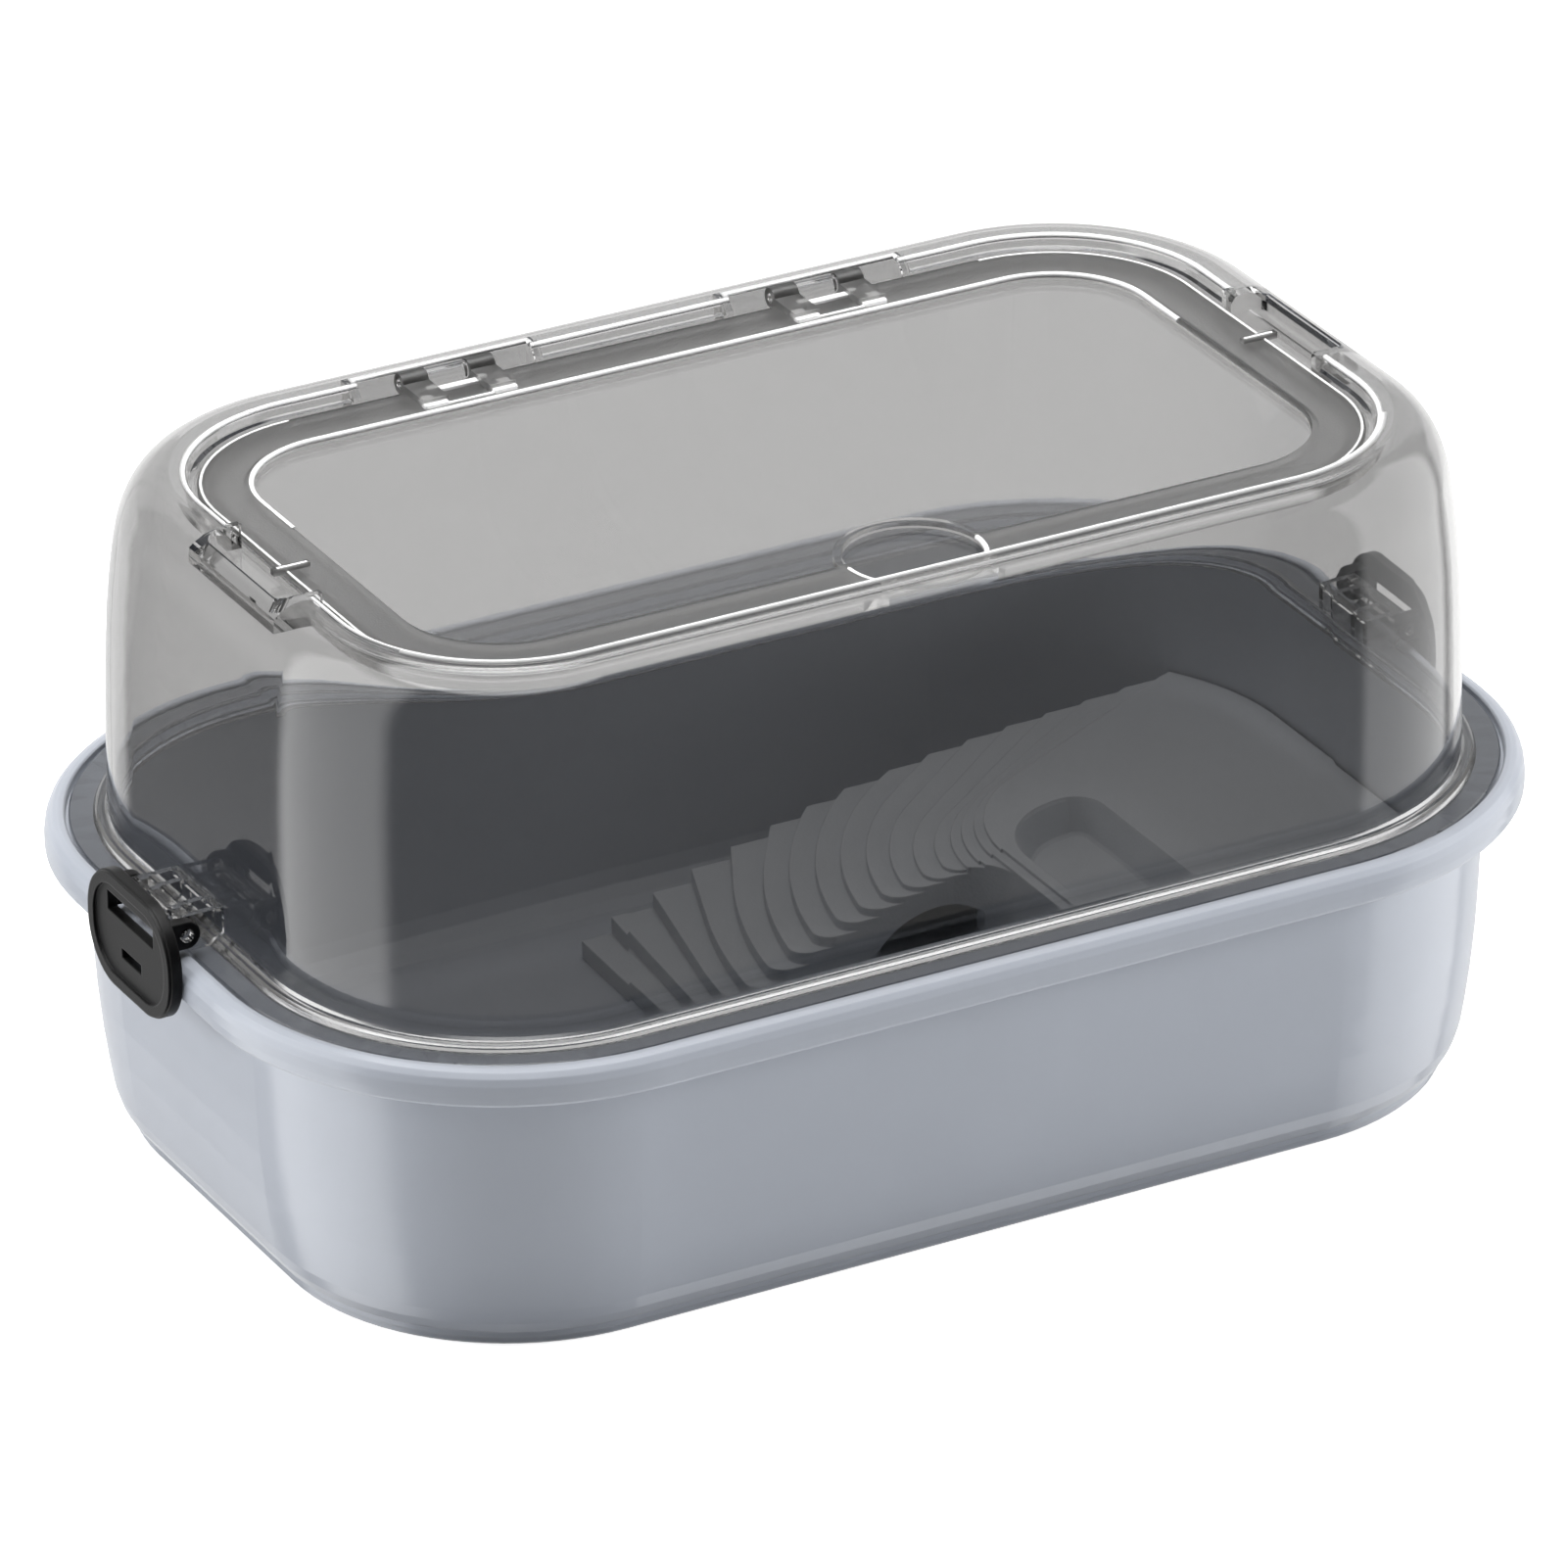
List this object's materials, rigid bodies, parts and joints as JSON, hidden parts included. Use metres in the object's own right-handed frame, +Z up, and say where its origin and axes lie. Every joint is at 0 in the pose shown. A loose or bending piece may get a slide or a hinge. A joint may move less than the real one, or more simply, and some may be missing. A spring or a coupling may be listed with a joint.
{
  "type": "turtle tank",
  "caption": "Small turtle tank: pale basin with a rolled rim, smoky clear domed cover with a hinged hatch, swinging end latches and a stepped climbing insert.",
  "frame": {"origin": "middle of the underside of the basin, on the table", "axes": "+X along the length towards the deck of the insert, +Y towards the hinges of the hatch, +Z up"},
  "size_m": [0.3892, 0.2528, 0.1882],
  "materials": {
    "basin": "satin pale grey moulding",
    "cover": "smoky clear, glossy",
    "hatch": "smoky clear panel with a frosted border",
    "latch": "fine-grained black",
    "insert": "satin grey moulding"
  },
  "bodies": {
    "tank": {"basin": "basin", "cover": "cover", "climbing_insert": "insert"},
    "hatch": {"hatch": "hatch"},
    "latch_left": {"latch_left": "latch"},
    "latch_right": {"latch_right": "latch"}
  },
  "joints": [
    {"name": "hatch_hinge", "type": "hinge", "parent": "tank", "child": "hatch", "pos_m": [0, 0.08569, 0.1852], "axis": [-1, 0, 0], "range_deg": [0, 110]},
    {"name": "latch_left_pivot", "type": "hinge", "parent": "tank", "child": "latch_left", "pos_m": [-0.1858, 0, 0.096], "axis": [0, 1, 0], "range_deg": [0, 90]},
    {"name": "latch_right_pivot", "type": "hinge", "parent": "tank", "child": "latch_right", "pos_m": [0.1858, 0, 0.096], "axis": [0, -1, 0], "range_deg": [0, 90]}
  ]
}
